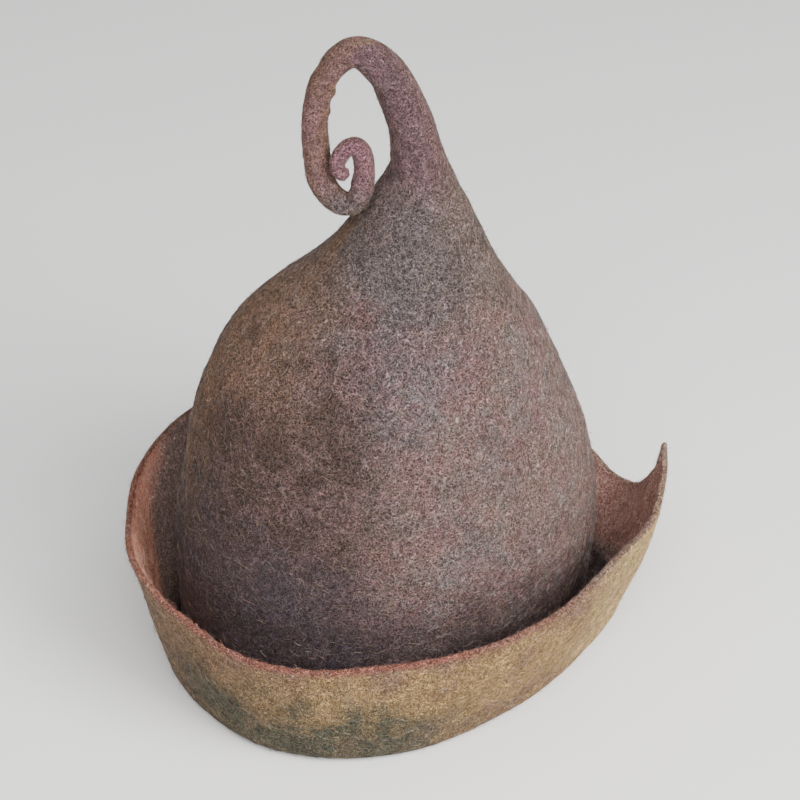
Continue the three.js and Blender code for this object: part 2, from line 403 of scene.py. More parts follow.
    def grain(self, points: np.ndarray) -> np.ndarray:
        """The way that the tail runs, beside each point.

        Args:
            points: points in metres, in the row frame.

        Returns:
            Directions from the foot of the tail to its tip.
        """
        reach, away, height = smooth_rows(BODY, self.fine)[:, :3].T
        line = reach[:, None] * self.along + away[:, None] * self.across
        line[:, 2] = height
        moved = points / MM + BOX_MIDDLE
        nearest = ((moved[:, None] - line[None]) ** 2).sum(axis=-1).argmin(axis=1)
        return unit(np.gradient(line, axis=0))[nearest]

    def face(self, place: np.ndarray, turn: np.ndarray) -> tuple[np.ndarray, np.ndarray]:
        """Points on the dented face and the directions out of it.

        Args:
            place: place along the skin.
            turn: turn round the ring in radians.

        Returns:
            The points and the directions.
        """
        points, normals = self.plain(place, turn), self.facing(place, turn)
        heading = np.arctan2(points[..., 1], points[..., 0])
        radius = np.hypot(points[..., 0], points[..., 1])
        depth = np.zeros_like(heading)
        for dent_heading, height, across, deep in DENTS:
            sideways = radius * short_way(heading - math.radians(dent_heading))
            distance = np.hypot(sideways, points[..., 2] - height) / across
            depth += deep * np.exp(-distance ** 2)
        lowest, highest = self.dented_rows
        depth = np.where((place > lowest) & (place < highest), depth, 0.0)
        for row, knot_turn, along, round_it, height in KNOTS:
            sideways = np.degrees(short_way(turn - math.radians(knot_turn))) / round_it
            depth -= height * np.exp(-((place - row) / along) ** 2 - sideways ** 2)
        return points - depth[..., None] * normals, normals


def shelf(points: np.ndarray, scale: float, seed: float) -> np.ndarray:
    """Soft noise at each point, about -1 to 1.

    Args:
        points: points in millimetres.
        scale: size of the bumps in millimetres.
        seed: moves the pattern.

    Returns:
        One value for each point.
    """
    flat = (points / scale + seed).reshape(-1, 3)
    values = np.fromiter((noise.noise(Vector(p)) for p in flat.tolist()), float, len(flat))
    return values.reshape(points.shape[:-1])


def close_rings(
    rings: list[np.ndarray], top: np.ndarray, bottom: np.ndarray
) -> tuple[np.ndarray, np.ndarray]:
    """Joins rings of points into one closed skin with a pole at each end.

    Args:
        rings: rings of points; the next has the same number of points, or twice or half of it.
        top: the pole before the first ring.
        bottom: the pole after the last ring.

    Returns:
        The points and the triangles.
    """
    points = np.vstack(rings + [top[None], bottom[None]])
    sizes = [len(ring) for ring in rings]
    first = np.cumsum([0] + sizes)
    faces = []
    for k, (upper, lower) in enumerate(zip(sizes, sizes[1:])):
        count = max(upper, lower)
        steps = np.arange(count + 1)
        above = first[k] + (steps * upper // count) % upper
        below = first[k + 1] + (steps * lower // count) % lower
        a, a2, b, b2 = above[:-1], above[1:], below[:-1], below[1:]
        faces.append(np.stack([a, b, b2], -1)[b != b2])
        faces.append(np.stack([a, b2, a2], -1)[a != a2])
    head, foot = np.arange(sizes[0]), first[-2] + np.arange(sizes[-1])
    faces.append(np.stack([0 * head + len(points) - 2, head, np.roll(head, -1)], -1))
    faces.append(np.stack([0 * foot + len(points) - 1, np.roll(foot, -1), foot], -1))
    return points, np.vstack(faces)


def mesh_object(name: str, points: np.ndarray, faces: np.ndarray) -> bpy.types.Object:
    """Makes a smooth-shaded object from points in millimetres.

    Args:
        name: the piece's name.
        points: its points in millimetres, from the middle of the head opening.
        faces: its triangles.

    Returns:
        The object, placed in the row frame.
    """
    shifted = (points - BOX_MIDDLE) * MM
    mesh = bpy.data.meshes.new(name)
    mesh.vertices.add(len(shifted))
    mesh.vertices.foreach_set("co", shifted.ravel())
    mesh.loops.add(3 * len(faces))
    mesh.loops.foreach_set("vertex_index", faces.ravel().astype(np.int32))
    mesh.polygons.add(len(faces))
    mesh.polygons.foreach_set("loop_start", np.arange(0, 3 * len(faces), 3, dtype=np.int32))
    mesh.polygons.foreach_set("use_smooth", np.ones(len(faces), dtype=bool))
    mesh.update(calc_edges=True)
    mesh.validate()
    obj = bpy.data.objects.new(name, mesh)
    bpy.context.scene.collection.objects.link(obj)
    return obj


def paint_values(obj: bpy.types.Object, values: dict[str, np.ndarray]) -> None:
    """Stores numbers on a mesh, one for each point.

    Args:
        obj: the piece.
        values: the numbers, by name.
    """
    for name, value in values.items():
        layer = obj.data.attributes.new(name, "FLOAT", "POINT")
        layer.data.foreach_set("value", value.astype(np.float32))


class NodePen:
    """Writes shader nodes into a tree, left to right."""

    def __init__(self, tree: bpy.types.NodeTree) -> None:
        """Keeps the tree and starts at its left edge."""
        self.tree = tree
        self.column = 0

    def node(
        self, kind: str, inputs: dict[str | int, object] | None = None, **settings: object
    ) -> bpy.types.Node:
        """Adds a node.

        Args:
            kind: the node's type.
            inputs: a value or a link for each input, by name or number.
            settings: attributes to set on it.

        Returns:
            The node.
        """
        made = self.tree.nodes.new(kind)
        for name, value in settings.items():
            setattr(made, name, value)
        self.fill(made, inputs or {})
        made.location = (self.column * 190, -(self.column % 5) * 160)
        self.column += 1
        return made

    def fill(self, node: bpy.types.Node, values: dict[str | int, object]) -> None:
        """Links or sets a node's inputs, each by its name or number."""
        for name, value in values.items():
            self.put(node.inputs[name], value)

    def put(self, socket: bpy.types.NodeSocket, value: object) -> None:
        """Links or sets a socket, whichever the value calls for.

        Args:
            socket: the input.
            value: an output to link, a value to set, or None to leave the input as it is.
        """
        if isinstance(value, bpy.types.NodeSocket):
            self.tree.links.new(value, socket)
        elif value is not None:
            socket.default_value = value

    def maths(self, operation: str, a: object, b: object = None, clamp: bool = False) -> bpy.types.NodeSocket:
        """One piece of arithmetic on one or two values."""
        made = self.node("ShaderNodeMath", {0: a, 1: b}, operation=operation, use_clamp=clamp)
        return made.outputs[0]

    def plus(self, start: object, extra: object, weight: float, clamp: bool = False) -> bpy.types.NodeSocket:
        """A value with so much of another added."""
        return self.maths("ADD", start, self.maths("MULTIPLY", extra, weight), clamp)

    def spread(self, value: object, low: float, high: float) -> bpy.types.NodeSocket:
        """Nought below low and one above high, with a soft passage between."""
        inputs = {"Value": value, "From Min": low, "From Max": high}
        return self.node("ShaderNodeMapRange", inputs, interpolation_type="SMOOTHSTEP").outputs["Result"]

    def blend(self, factor: object, under: object, over: object, mode: str = "MIX") -> bpy.types.NodeSocket:
        """Lays one colour over another.

        Args:
            factor: how much of the upper colour shows.
            under: the lower colour.
            over: the upper colour.
            mode: the way that the two are mixed.

        Returns:
            The colour that shows.
        """
        inputs = {"Factor": factor, 6: under, 7: over}
        made = self.node("ShaderNodeMix", inputs, data_type="RGBA", blend_type=mode, clamp_result=True)
        return made.outputs[2]

    def layers(self, under: object, *coats: tuple[object, object]) -> bpy.types.NodeSocket:
        """Lays colours over one another.

        Args:
            under: the lowest colour.
            coats: a factor and a colour for each coat over it.

        Returns:
            The colour that shows.
        """
        for factor, over in coats:
            under = self.blend(factor, under, over)
        return under

    def speckle(
        self, where: object, scale: object, detail: float, distortion: float = 0.0
    ) -> bpy.types.NodeSocket:
        """Soft noise between nought and one."""
        inputs = {"Vector": where, "Scale": scale, "Detail": detail, "Distortion": distortion}
        return self.node("ShaderNodeTexNoise", inputs, noise_dimensions="3D").outputs["Fac"]

    def moved(self, where: object, seed: object) -> bpy.types.NodeSocket:
        """The place, moved along by a seed."""
        return self.node("ShaderNodeVectorMath", {0: where, 1: seed}, operation="ADD").outputs[0]

    def painted(self, name: str) -> bpy.types.NodeSocket:
        """A number stored on the mesh."""
        return self.node("ShaderNodeAttribute", attribute_name=name).outputs["Fac"]


def open_group(name: str, inputs: dict[str, tuple[str, object]], outputs: dict[str, str]) -> NodePen:
    """Starts a shader node group with named sockets.

    Args:
        name: the group's name.
        inputs: socket type and starting value by name.
        outputs: socket type by name.

    Returns:
        A pen for the group's tree, with its ends as pen.start and pen.end.
    """
    tree = bpy.data.node_groups.new(name, "ShaderNodeTree")
    for label, (kind, value) in inputs.items():
        socket = tree.interface.new_socket(label, in_out="INPUT", socket_type=kind)
        socket.default_value = value
    for label, kind in outputs.items():
        tree.interface.new_socket(label, in_out="OUTPUT", socket_type=kind)
    pen = NodePen(tree)
    pen.start = pen.node("NodeGroupInput")
    pen.end = pen.node("NodeGroupOutput")
    return pen


def dyed_patches() -> bpy.types.NodeTree:
    """Soft patches where wool of another dye lies on top.

    Returns:
        A group that puts out broad clouds and small flecks as masks.
    """
    pen = open_group(
        "dyed_patches",
        {"Place": ("NodeSocketVector", (0, 0, 0)), "Cloud Scale": ("NodeSocketFloat", 25.0),
         "Fleck Scale": ("NodeSocketFloat", 160.0), "Seed": ("NodeSocketVector", (0, 0, 0))},
        {"Clouds": "NodeSocketFloat", "Flecks": "NodeSocketFloat"},
    )
    where = pen.moved(pen.start.outputs["Place"], pen.start.outputs["Seed"])
    clouds = pen.speckle(where, pen.start.outputs["Cloud Scale"], 3.0, 0.6)
    flecks = pen.speckle(where, pen.start.outputs["Fleck Scale"], 4.0, 1.2)
    pen.put(pen.end.inputs["Clouds"], pen.spread(clouds, 0.42, 0.62))
    pen.put(pen.end.inputs["Flecks"], pen.spread(flecks, 0.45, 0.65))
    return pen.tree


# The layers of the tangle in the felt, as scale and width: pale strands, and the gaps between them.
STRAND_LAYERS = ((240.0, 0.011), (350.0, 0.014), (500.0, 0.018), (720.0, 0.023))
GAP_LAYERS = ((470.0, 0.045), (720.0, 0.06), (1100.0, 0.08))


def matted_wool() -> bpy.types.NodeTree:
    """The tangle of thin strands in the surface of the felt.

    Returns:
        A group that puts out pale strands, dark gaps between them and the height for a bump.
    """
    pen = open_group(
        "matted_wool",
        {"Place": ("NodeSocketVector", (0, 0, 0))},
        {"Strands": "NodeSocketFloat", "Gaps": "NodeSocketFloat", "Height": "NodeSocketFloat"},
    )
    where = pen.start.outputs["Place"]

    def tangle(layers: tuple[tuple[float, float], ...], seed: float) -> bpy.types.NodeSocket:
        """Thin curly lines, drawn where soft noise passes its middle.

        Args:
            layers: the scale of the noise and the width of the lines, for each layer.
            seed: moves the pattern.

        Returns:
            One on the lines and nought beside them.
        """
        found = 0.0
        for scale, width in layers:
            seed += 3.7
            place = pen.moved(where, (seed, -seed, 0.5 * seed))
            value = pen.speckle(place, scale, 2.0, 0.8)
            off = pen.maths("ABSOLUTE", pen.maths("SUBTRACT", value, 0.5))
            found = pen.maths("MAXIMUM", found, pen.spread(off, width, 0.0))
        return found

    strands, gaps = tangle(STRAND_LAYERS, 0.0), tangle(GAP_LAYERS, 40.0)
    grain, pebble = pen.speckle(where, 2100.0, 2.0), pen.speckle(where, 260.0, 3.0)
    height = 0.0
    for layer, weight in ((strands, 0.6), (gaps, -0.3), (grain, 0.4), (pebble, 0.8)):
        height = pen.plus(height, layer, weight)
    pen.fill(pen.end, {"Strands": strands, "Gaps": pen.plus(gaps, strands, -0.7, True), "Height": height})
    return pen.tree


def srgb(*screen: int) -> Colour:
    """A colour from its red, green and blue on the screen.

    Args:
        screen: the three values, 0 to 255.

    Returns:
        The colour as light, with full cover.
    """
    shares = [value / 255 for value in screen]
    light = [s / 12.92 if s <= 0.04045 else ((s + 0.055) / 1.055) ** 2.4 for s in shares]
    return (*light, 1.0)


@dataclass(frozen=True)
class WoolDyesAndPaintedLight:
    """The colours of the wool, some of them painted light and shade, and where each shows.

    The patches give a seed, the scale of the clouds and the scale of the flecks. The pairs after
    them say how much of a dye shows in its clouds and in its flecks.
    """

    mauve: Colour = srgb(72, 59, 60)
    wine: Colour = srgb(71, 50, 55)
    slate: Colour = srgb(59, 60, 61)
    # A dull brown-yellow: flecks of it at random over the crown, and painted sheen along the crown's left
    # edge, where the fuzz catches the light.
    ochre_and_painted_sheen: Colour = srgb(73, 55, 44)
    # The darkest brown, laid on the crown's left side, turned from the window light: painted shade.
    painted_left_shade: Colour = srgb(38, 29, 28)
    dusk: Colour = srgb(54, 49, 50)
    # Near-black purple on the crown's foot down in the trough between crown and brim: painted shade.
    painted_trough_shade: Colour = srgb(34, 29, 36)
    tail: Colour = srgb(63, 47, 52)
    tail_tip: Colour = srgb(78, 54, 61)
    # Rose of the wool near the rim inside the brim, made light to stand in for the light falling on that
    # band: partly painted light.
    rose: Colour = srgb(238, 149, 128)
    brown: Colour = srgb(141, 103, 97)
    # Laid on the brim's inner wall in the crown's shadow, below the lit band at the rim: painted shadow.
    shade: Colour = srgb(126, 107, 103)
    olive: Colour = srgb(90, 73, 53)
    sand: Colour = srgb(112, 90, 58)
    moss: Colour = srgb(45, 48, 40)
    edge: Colour = srgb(88, 54, 47)
    # Brightens the pale zone: a painted highlight on the crown's right edge, where the window light falls,
    # and lighter felt outside under the brim's point.
    lift: Colour = (1.9, 1.9, 1.85, 1.0)
    patches: tuple[tuple[float, float, float], ...] = (
        (0.0, 42.0, 190.0),
        (5.3, 58.0, 240.0),
        (11.9, 34.0, 150.0),
    )
    strong: tuple[float, float] = (0.45, 0.4)
    flecked: tuple[float, float] = (0.2, 0.4)
    even: tuple[float, float] = (0.2, 0.2)
    faint: tuple[float, float] = (0.18, 0.16)
    broken: tuple[float, float] = (0.35, 0.35)
    unbroken: float = 0.65

    def build(self, patches: bpy.types.NodeTree) -> bpy.types.NodeTree:
        """Builds the group that puts out the wool's colour.

        Args:
            patches: the group of dyed patches.

        Returns:
            A group with an input for the place and for each zone.
        """
        inputs = {"Place": ("NodeSocketVector", (0, 0, 0))}
        inputs.update({zone: ("NodeSocketFloat", 0.0) for zone in ZONES})
        pen = open_group("wool_dyes_and_painted_light", inputs, {"DyeAndPaintedLight": "NodeSocketColor"})
        zone = {name: pen.start.outputs[name] for name in ZONES}
        masks = []
        for seed, cloud, fleck in self.patches:
            values = {"Place": pen.start.outputs["Place"], "Cloud Scale": cloud, "Fleck Scale": fleck}
            made = pen.node("ShaderNodeGroup", values, node_tree=patches)
            pen.put(made.inputs["Seed"], (seed, seed * 0.7, -seed))
            masks.append((made.outputs["Clouds"], made.outputs["Flecks"]))

        def share(mask: int, amounts: tuple[float, float]) -> bpy.types.NodeSocket:
            """Clouds and flecks added in the given amounts."""
            clouds, flecks = masks[mask]
            return pen.plus(pen.maths("MULTIPLY", clouds, amounts[0]), flecks, amounts[1], True)

        def patchy(name: str, mask: int) -> bpy.types.NodeSocket:
            """A zone broken up by clouds and flecks."""
            uneven = pen.maths("ADD", share(mask, self.broken), self.unbroken)
            return pen.maths("MULTIPLY", zone[name], uneven, True)

        crown = pen.layers(
            self.mauve,
            (share(0, self.strong), self.wine),
            (share(1, self.strong), self.slate),
            (share(2, self.faint), self.ochre_and_painted_sheen),
            # painted shade on the crown's left side
            (patchy("painted_left_shade", 1), self.painted_left_shade),
            # darker and greyer towards the crown's top and the neck
            (patchy("dusk", 0), self.dusk),
            (zone["tail"], pen.blend(zone["rosy"], self.tail, self.tail_tip)),
            # painted sheen along the crown's left edge
            (patchy("ochre_and_painted_sheen", 2), self.ochre_and_painted_sheen),
            # painted shade at the crown's foot in the trough
            (patchy("painted_trough_shade", 2), self.painted_trough_shade),
        )
        outside = pen.layers(
            self.olive,
            (share(1, self.flecked), self.wine),
            (patchy("sand", 0), self.sand),
            (patchy("moss", 2), self.moss),
        )
        inside = pen.layers(
            self.brown,
            # the rose band near the rim, made light as painted light
            (zone["rosy"], self.rose),
            (share(2, self.even), self.edge),
            # painted shadow of the crown on the brim's inner wall
            (zone["painted_trough_shade"], self.shade),
        )
        colour = pen.layers(
            crown, (zone["outside"], outside), (zone["inside"], inside), (patchy("rim", 0), self.edge)
        )
        # painted highlight on the crown's right edge, and lighter felt outside under the brim's point
        colour = pen.blend(patchy("pale", 1), colour, self.lift, "MULTIPLY")
        pen.put(pen.end.inputs["DyeAndPaintedLight"], colour)
        return pen.tree


def dye_and_painted_light_here(pen: NodePen, dyes_and_painted_light: bpy.types.NodeTree) -> bpy.types.NodeSocket:
    """Adds the wool's colour at each point of a piece.

    Args:
        pen: the pen of the piece's material.
        dyes_and_painted_light: the group of dyes.

    Returns:
        The colour.
    """
    inputs = {"Place": pen.node("ShaderNodeTexCoord").outputs["Object"]}
    inputs.update({name: pen.painted(name) for name in ZONES})
    return pen.node("ShaderNodeGroup", inputs, node_tree=dyes_and_painted_light).outputs["DyeAndPaintedLight"]


@dataclass(frozen=True)
class WoolFelt:
    """The felt itself, with pale strands over dark gaps, which are fainter in the calmer zones."""

    shadow: Colour = (0.6, 0.57, 0.57, 1.0)
    brighter: Colour = (9.5, 9.5, 9.6, 1.0)
    calmer: tuple[tuple[str, float], ...] = (("inside", 0.5), ("outside", 0.2), ("tail", 0.2))
    bump_strength: float = 0.9
    bump_depth: float = 0.0006
    roughness: float = 0.86
    gap_roughness: float = 0.1
    specular: float = 0.15
    sheen: float = 0.25
    sheen_roughness: float = 0.3
    sheen_tint: Colour = srgb(214, 172, 128)

    def build(self, dyes_and_painted_light: bpy.types.NodeTree, matting: bpy.types.NodeTree) -> bpy.types.Material:
        """Builds the material.

        Args:
            dyes_and_painted_light: the group of dyes.
            matting: the group of matted strands.

        Returns:
            The material.
        """
        material = bpy.data.materials.new("mauve_brown_felt")
        material.use_nodes = True
        pen = NodePen(material.node_tree)
        place = pen.node("ShaderNodeTexCoord").outputs["Object"]
        wool = pen.node("ShaderNodeGroup", {"Place": place}, node_tree=matting).outputs
        calm = 1.0
        for zone, weight in self.calmer:
            calm = pen.plus(calm, pen.painted(zone), -weight)
        colour = dye_and_painted_light_here(pen, dyes_and_painted_light)
        for layer, tint in (("Gaps", self.shadow), ("Strands", self.brighter)):
            colour = pen.blend(pen.maths("MULTIPLY", wool[layer], calm), colour, tint, "MULTIPLY")
        bump = pen.node(
            "ShaderNodeBump",
            {"Strength": self.bump_strength, "Distance": self.bump_depth, "Height": wool["Height"]},
        )
        pen.fill(material.node_tree.nodes["Principled BSDF"], {
            "Base Color": colour,
            "Normal": bump.outputs["Normal"],
            "Roughness": pen.plus(self.roughness, wool["Gaps"], self.gap_roughness),
            "Specular IOR Level": self.specular,
            "Sheen Weight": self.sheen,
            "Sheen Roughness": self.sheen_roughness,
            "Sheen Tint": self.sheen_tint,
        })
        return material


@dataclass(frozen=True)
class LooseWool:
    """Single wool fibres, coloured as the felt under them, painted light and shade included, but darker or
    paler each by itself.

    Each fibre has a tone and a tint, numbers from nought to one. The ranges say at which tones or
    tints a change comes in, and undyed and bare how much of the pale wool's own colour shows.
    """

    shadow: Colour = (0.5, 0.48, 0.48, 1.0)
    brighter: Colour = (2.8, 2.8, 2.8, 1.0)
    grey: Colour = srgb(196, 186, 180)
    straw: Colour = srgb(198, 170, 130)
    rose: Colour = srgb(196, 142, 134)
    dark_range: tuple[float, float] = (0.4, 0.0)
    bright_range: tuple[float, float] = (0.4, 0.8)
    grey_range: tuple[float, float] = (0.35, 0.45)
    rose_range: tuple[float, float] = (0.7, 0.8)
    undyed_range: tuple[float, float] = (0.45, 1.0)
    undyed: float = 0.38
    bare_range: tuple[float, float] = (0.93, 1.0)
    bare: float = 0.25
    roughness: float = 0.75
    tone_gloss: float = 0.2
    specular: float = 0.25
    sheen: float = 0.15

    def build(self, dyes_and_painted_light: bpy.types.NodeTree) -> bpy.types.Material:
        """Builds the material.

        Args:
            dyes_and_painted_light: the group of dyes.

        Returns:
            The material, shaded from dark to pale by the numbers stored on each fibre.
        """
        material = bpy.data.materials.new("loose_wool_fibres")
        material.use_nodes = True
        pen = NodePen(material.node_tree)
        tone, tint = pen.painted("fibre_tone"), pen.painted("fibre_tint")
        colour = pen.blend(pen.spread(tone, *self.dark_range), dye_and_painted_light_here(pen, dyes_and_painted_light), self.shadow, "MULTIPLY")
        colour = pen.blend(pen.spread(tone, *self.bright_range), colour, self.brighter, "MULTIPLY")
        pale = pen.layers(
            self.straw,
            (pen.spread(tint, *self.grey_range), self.grey),
            (pen.spread(tint, *self.rose_range), self.rose),
        )
        share = pen.maths("MULTIPLY", pen.spread(tone, *self.undyed_range), self.undyed)
        share = pen.plus(share, pen.spread(tone, *self.bare_range), self.bare)
        pen.fill(material.node_tree.nodes["Principled BSDF"], {
            "Base Color": pen.blend(share, colour, pale),
            "Roughness": pen.plus(self.roughness, tone, -self.tone_gloss),
            "Specular IOR Level": self.specular,
            "Sheen Weight": self.sheen,
        })
        return material


@dataclass
class FeltWall:
    """The hat's one wall of felt, with the uneven skin that felting gives.

    A round is the number of points in a ring, and rows are the rings along a stretch. The bumps
    give a height and a breadth in millimetres, and a seed. They fade on the tail.
    """

    form: HatForm
    round_tail: int = 64
    round_neck: int = 128
    round_body: int = 256
    tail_rows: int = 150
    neck_rows: int = 34
    crown_rows: int = 130
    floor_rows: int = 13
    wall_rows: int = 46
    rim_rows: int = 7
    back_crown_rows: int = 60
    back_floor: tuple[float, ...] = (150, 130, 112, 90, 68, 50, 25)
    bumps: tuple[tuple[float, float, float], ...] = ((0.8, 34.0, 4.0), (0.35, 12.0, 9.0), (0.175, 5.0, 21.0))
    back_share: float = 0.6
    fade_from: float = 11.0
    fade_rows: float = 4.0
    fade_share: float = 0.65
    tip_reach: float = 1.6
    apex_rise: float = 2.0
    tail_height: float = 252.0
    inside_from: float = -0.6
    outside_from: float = -0.1
    rim_from: float = -1.955

    def ring_count(self, place: float) -> int:
        """How many points a ring has, by its place on the face."""
        narrow = self.round_tail if place > TAIL_ROW else self.round_neck
        return narrow if place > NECK_ROW else self.round_body

    def relief(self, points: np.ndarray, strength: float) -> np.ndarray:
        """How far the uneven skin stands out at each point, in millimetres."""
        return strength * sum(high * shelf(points, broad, seed) for high, broad, seed in self.bumps)

    def ring(self, side: Side, place: float, sweep: float) -> np.ndarray:
        """One ring of points.

        Args:
            side: the side of the wall.
            place: place along the skin.
            sweep: on the rim, how far round from the face to the back, in radians.

        Returns:
            The ring's points in millimetres.
        """
        count = self.ring_count(place) if side is Side.FACE else self.round_body
        turn = np.arange(count) * 2 * math.pi / count
        places = np.full(count, place)
        face, normal = self.form.face(places, turn)
        fade = np.clip((place - self.fade_from) / self.fade_rows, 0, 1)
        rise = self.relief(face, 1 - self.fade_share * fade)[:, None]
        pushed = face + rise * normal
        if side is Side.FACE:
            return pushed
        back = face - FELT * normal + self.back_share * rise * normal
        if side is Side.RIM:
            before, _ = self.form.face(places + 0.01, turn)
            onward = unit(face - before)
            middle, half = (pushed + back) / 2, (pushed - back) / 2
            size = np.linalg.norm(half, axis=-1, keepdims=True)
            return middle + math.cos(sweep) * half + math.sin(sweep) * size * onward
        back[:, 2] = np.maximum(back[:, 2], 0.0)
        return back

    def places(self) -> list[tuple[Side, float, float]]:
        """Lists the rings from the tail's tip over the rim to the top of the hollow.

        Returns:
            The side, the place and the sweep of each ring.
        """
        down = np.concatenate([
            np.linspace(self.form.last, TAIL_ROW, self.tail_rows)[:-1],
            np.linspace(TAIL_ROW, NECK_ROW, self.neck_rows)[:-1],
            np.linspace(NECK_ROW, 0, self.crown_rows)[:-1],
            -np.linspace(0, 1, self.floor_rows)[:-1],
            -1 - np.linspace(0, 1, self.wall_rows),
        ])
        up = np.concatenate([
            -2 + np.linspace(0, 1, self.wall_rows),
            -np.radians(self.back_floor) / math.pi,
            np.linspace(0, HOLLOW_TOP, self.back_crown_rows),
        ])
        rings = [(Side.FACE, float(place), 0.0) for place in down]
        rings += [(Side.RIM, -2.0, math.pi * k / self.rim_rows) for k in range(1, self.rim_rows)]
        return rings + [(Side.BACK, float(place), 0.0) for place in up]

    def build(self) -> bpy.types.Object:
        """Builds the wall as one closed mesh with its zones painted on.

        Returns:
            The object.
        """
        listed = self.places()
        rings = [self.ring(*entry) for entry in listed]
        tip = rings[0].mean(axis=0)
        tip = tip + self.tip_reach * unit(tip - rings[3].mean(axis=0))
        apex = rings[-1].mean(axis=0) + np.array([0, 0, self.apex_rise])
        points, faces = close_rings(rings, tip, apex)
        sides, places, _ = zip(*listed)
        counts = [len(ring) for ring in rings]
        side = np.repeat([each.value for each in sides], counts)
        side = np.append(side, (Side.FACE.value, Side.BACK.value))
        place = np.append(np.repeat(places, counts), (self.form.last, HOLLOW_TOP))
        obj = mesh_object("felt_wall", points, faces)
        paint_values(obj, self.zones(points, side, place))
        return obj

    def zones(self, points: np.ndarray, side: np.ndarray, place: np.ndarray) -> dict[str, np.ndarray]:
        """Where each colour shows, painted light and shade among them, and which stretch each point belongs
        to.

        Args:
            points: the wall's points in millimetres.
            side: the side of the wall, counted as in Side.
            place: place along the skin.

        Returns:
            A number for each point, by zone, and the stretch under "coat".
        """
        face, rim, back = (side == each.value for each in Side)
        height = points[:, 2]
        heading = np.degrees(np.arctan2(points[:, 1], points[:, 0]))
        patchy = shelf(points, 17.0, 2.0)
        crown = np.where(face & (place > -1), 1.0, 0.0)
        outer = np.where(back & (place < 0), 1.0, np.where(rim, 0.35, 0.0))

        def near(middle: float, full: float, none: float) -> np.ndarray:
            """One within full degrees of a heading, nought beyond none degrees."""
            return smoothstep(none, full, apart(heading, middle))

        uneven = height + 26 * patchy
        # The trough's painted shade: up the crown's foot from the trough, higher at the left front, and up
        # the brim's inner wall to the line of the crown's shadow.
        low = uneven - 45 * near(195, 20, 60)
        deep = place + 0.05 * patchy - np.interp(np.mod(heading, 360), *PAINTED_SHADE_EDGE.T)
        shoulder = smoothstep(150, 185, height) * smoothstep(238, 205, height)
        edge = smoothstep(-1.965, -2.0, place + 0.02 * patchy)
        foot = np.where(place > -1, smoothstep(104, 26, low), smoothstep(-0.12, 0.16, deep))
        under_point = near(345, 15, 50)
        values = {
            "outside": outer,
            "inside": np.where(face, smoothstep(-0.8, -1.2, place), 0.0),
            "rim": np.where(rim, 1.0, 0.8 * edge) * near(215, 60, 95),
            "rosy": np.where(place < 0, near(165, 55, 120), smoothstep(15.5, 20, place)),
            # a painted highlight on the crown's right edge, where the window light falls, and lighter felt
            # outside under the brim's point
            "pale": np.maximum(
                0.2 * crown * near(335, 15, 45) * smoothstep(195, 185, height), outer * under_point),
            "moss": outer * near(224, 16, 58) * smoothstep(60, 18, uneven),
            "sand": outer * np.maximum(
                near(290, 45, 95) * smoothstep(8, 26, uneven) * smoothstep(66, 44, uneven), under_point),
            # painted shade on the crown's left side, turned from the window light
            "painted_left_shade": crown * near(200, 24, 62) * smoothstep(222, 165, uneven),
            # darker and greyer towards the crown's top and the neck
            "dusk": crown * smoothstep(196, 218, uneven) * smoothstep(276, 252, height),
            # painted shade: the crown's foot in the trough, and the brim's inner wall in the crown's shadow
            "painted_trough_shade": np.where(face, foot, 0.0),
            "tail": crown * smoothstep(250, 274, height),
            # painted sheen along the crown's left edge, on the shoulder and lower down
            "ochre_and_painted_sheen": crown * (0.6 + 0.4 * patchy) * np.clip(
                0.75 * shoulder * near(170, 25, 65) + near(160, 12, 30) * smoothstep(70, 130, height), 0, 1),
        }
        coat = np.full(len(points), Stretch.CROWN.value)
        for stretch, where in (
            (Stretch.TAIL, height > self.tail_height),
            (Stretch.HOLLOW, back),
            (Stretch.INSIDE, face & (place < self.inside_from)),
            (Stretch.OUTSIDE, back & (place < self.outside_from)),
            (Stretch.RIM, rim | (place < self.rim_from)),
        ):
            coat[where] = stretch.value
        return {name: np.clip(value, 0, 1) for name, value in values.items()} | {"coat": coat}


def read_values(mesh: bpy.types.Mesh, name: str) -> np.ndarray:
    """Reads the numbers stored on a mesh.

    Args:
        mesh: the mesh.
        name: the name that they are stored under.

    Returns:
        One number for each point.
    """
    values = np.empty(len(mesh.vertices), dtype=np.float32)
    mesh.attributes[name].data.foreach_get("value", values)
    return values


